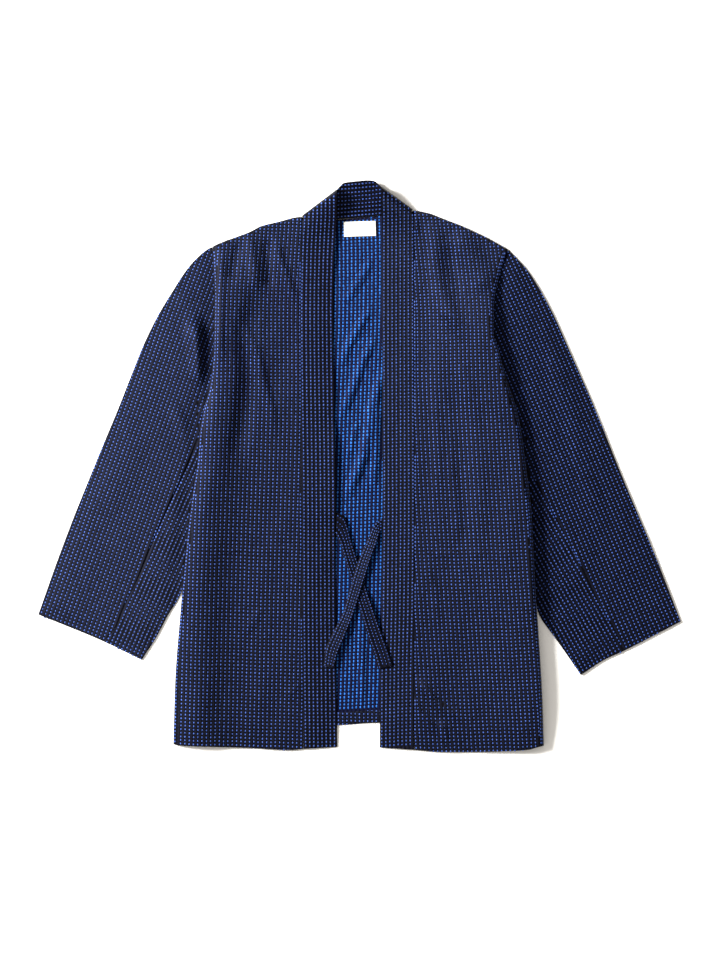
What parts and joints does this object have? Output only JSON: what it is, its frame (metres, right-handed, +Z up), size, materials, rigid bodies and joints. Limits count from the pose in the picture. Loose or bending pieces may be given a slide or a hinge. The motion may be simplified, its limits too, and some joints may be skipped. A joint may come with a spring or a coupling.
{
  "type": "haori jacket",
  "caption": "Open-front haori jacket with a straight collar band, wide sleeves and front ties that cross, laid flat on its back.",
  "frame": {"origin": "on the floor under the middle of the garment's outline", "axes": "+X towards the wearer's left sleeve, +Y from hem to neck, +Z up from the floor, out of the front of the garment"},
  "size_m": [0.9638, 0.8572, 0.0144],
  "materials": {
    "sashiko_cloth": "matt indigo cotton with rows of running stitches in blue thread",
    "label_ribbon": "plain white woven ribbon"
  },
  "bodies": {
    "root": {"back": "sashiko_cloth", "front_right": "sashiko_cloth", "front_left": "sashiko_cloth", "sleeve_right": "sashiko_cloth", "sleeve_left": "sashiko_cloth", "collar": "sashiko_cloth", "tie_right": "sashiko_cloth", "tie_left": "sashiko_cloth", "label": "label_ribbon"}
  },
  "joints": []
}
